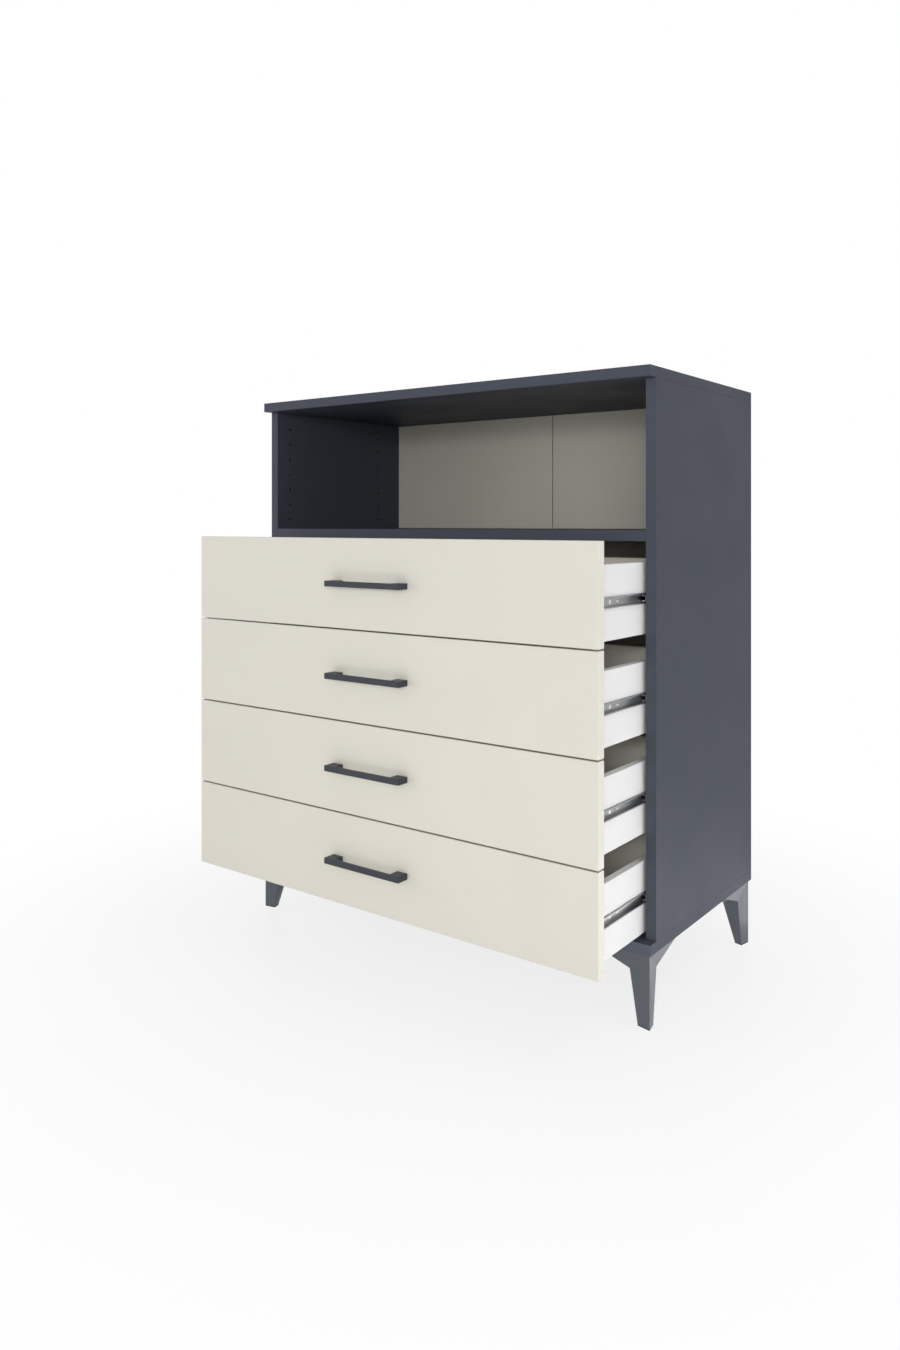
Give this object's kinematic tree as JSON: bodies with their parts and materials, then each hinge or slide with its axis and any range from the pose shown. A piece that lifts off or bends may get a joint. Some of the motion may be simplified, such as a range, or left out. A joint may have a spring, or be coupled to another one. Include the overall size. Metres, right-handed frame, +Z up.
{
  "type": "commode chest",
  "caption": "Tall chest of drawers with an open compartment above full-width drawers on ball-bearing slides, standing on tapering legs, shown with the drawers drawn out.",
  "frame": {"origin": "on the floor, under the middle of the whole chest as it stands with its drawers drawn out", "axes": "+Z up, the drawers open towards -Y, +X to the right of someone facing the front"},
  "size_m": [0.886, 0.6332, 1.058],
  "materials": {
    "graphite_board": "matt graphite melamine on particle board",
    "cream_board": "satin cream melamine on particle board",
    "white_board": "white melamine on particle board",
    "back_board": "printed cream hardboard",
    "back_tape": "matt adhesive tape",
    "graphite_metal": "satin powder coat",
    "graphite_plastic": "satin moulded plastic",
    "zinc_steel": "zinc plated, rolled",
    "cage_plastic": "black moulded plastic"
  },
  "bodies": {
    "carcass": {"top_panel": "graphite_board", "base_panel": "graphite_board", "left_side_panel": "graphite_board", "right_side_panel": "graphite_board", "fixed_shelf": "graphite_board", "back_board_left": "back_board", "back_board_right": "back_board", "back_seam_strip": "back_tape", "front_left_leg": "graphite_plastic", "front_right_leg": "graphite_plastic", "rear_right_leg": "graphite_plastic", "rear_left_leg": "graphite_plastic", "drawer_1_left_slide_cabinet_member": "zinc_steel", "drawer_1_right_slide_cabinet_member": "zinc_steel", "drawer_2_left_slide_cabinet_member": "zinc_steel", "drawer_2_right_slide_cabinet_member": "zinc_steel", "drawer_3_left_slide_cabinet_member": "zinc_steel", "drawer_3_right_slide_cabinet_member": "zinc_steel", "drawer_4_left_slide_cabinet_member": "zinc_steel", "drawer_4_right_slide_cabinet_member": "zinc_steel"},
    "drawer_1": {"drawer_1_front": "cream_board", "drawer_1_handle": "graphite_metal", "drawer_1_box_left_side": "white_board", "drawer_1_box_right_side": "white_board", "drawer_1_box_bottom": "white_board", "drawer_1_box_back": "white_board", "drawer_1_left_slide_drawer_member": "zinc_steel", "drawer_1_right_slide_drawer_member": "zinc_steel"},
    "drawer_1_cages": {"drawer_1_left_slide_ball_cage": "cage_plastic", "drawer_1_right_slide_ball_cage": "cage_plastic"},
    "drawer_2": {"drawer_2_front": "cream_board", "drawer_2_handle": "graphite_metal", "drawer_2_box_left_side": "white_board", "drawer_2_box_right_side": "white_board", "drawer_2_box_bottom": "white_board", "drawer_2_box_back": "white_board", "drawer_2_left_slide_drawer_member": "zinc_steel", "drawer_2_right_slide_drawer_member": "zinc_steel"},
    "drawer_2_cages": {"drawer_2_left_slide_ball_cage": "cage_plastic", "drawer_2_right_slide_ball_cage": "cage_plastic"},
    "drawer_3": {"drawer_3_front": "cream_board", "drawer_3_handle": "graphite_metal", "drawer_3_box_left_side": "white_board", "drawer_3_box_right_side": "white_board", "drawer_3_box_bottom": "white_board", "drawer_3_box_back": "white_board", "drawer_3_left_slide_drawer_member": "zinc_steel", "drawer_3_right_slide_drawer_member": "zinc_steel"},
    "drawer_3_cages": {"drawer_3_left_slide_ball_cage": "cage_plastic", "drawer_3_right_slide_ball_cage": "cage_plastic"},
    "drawer_4": {"drawer_4_front": "cream_board", "drawer_4_handle": "graphite_metal", "drawer_4_box_left_side": "white_board", "drawer_4_box_right_side": "white_board", "drawer_4_box_bottom": "white_board", "drawer_4_box_back": "white_board", "drawer_4_left_slide_drawer_member": "zinc_steel", "drawer_4_right_slide_drawer_member": "zinc_steel"},
    "drawer_4_cages": {"drawer_4_left_slide_ball_cage": "cage_plastic", "drawer_4_right_slide_ball_cage": "cage_plastic"}
  },
  "joints": [
    {"name": "drawer_1_slide", "type": "slide", "parent": "carcass", "child": "drawer_1", "axis": [0, -1, 0], "range_m": [-0.169, 0.091]},
    {"name": "drawer_1_cage_travel", "type": "slide", "parent": "carcass", "child": "drawer_1_cages", "axis": [0, -1, 0], "range_m": [-0.0845, 0.0455]},
    {"name": "drawer_2_slide", "type": "slide", "parent": "carcass", "child": "drawer_2", "axis": [0, -1, 0], "range_m": [-0.169, 0.091]},
    {"name": "drawer_2_cage_travel", "type": "slide", "parent": "carcass", "child": "drawer_2_cages", "axis": [0, -1, 0], "range_m": [-0.0845, 0.0455]},
    {"name": "drawer_3_slide", "type": "slide", "parent": "carcass", "child": "drawer_3", "axis": [0, -1, 0], "range_m": [-0.169, 0.091]},
    {"name": "drawer_3_cage_travel", "type": "slide", "parent": "carcass", "child": "drawer_3_cages", "axis": [0, -1, 0], "range_m": [-0.0845, 0.0455]},
    {"name": "drawer_4_slide", "type": "slide", "parent": "carcass", "child": "drawer_4", "axis": [0, -1, 0], "range_m": [-0.169, 0.091]},
    {"name": "drawer_4_cage_travel", "type": "slide", "parent": "carcass", "child": "drawer_4_cages", "axis": [0, -1, 0], "range_m": [-0.0845, 0.0455]}
  ],
  "couplings": [
    {"joint": "drawer_1_cage_travel", "follows": "drawer_1_slide", "ratio": 0.5},
    {"joint": "drawer_2_cage_travel", "follows": "drawer_2_slide", "ratio": 0.5},
    {"joint": "drawer_3_cage_travel", "follows": "drawer_3_slide", "ratio": 0.5},
    {"joint": "drawer_4_cage_travel", "follows": "drawer_4_slide", "ratio": 0.5}
  ]
}
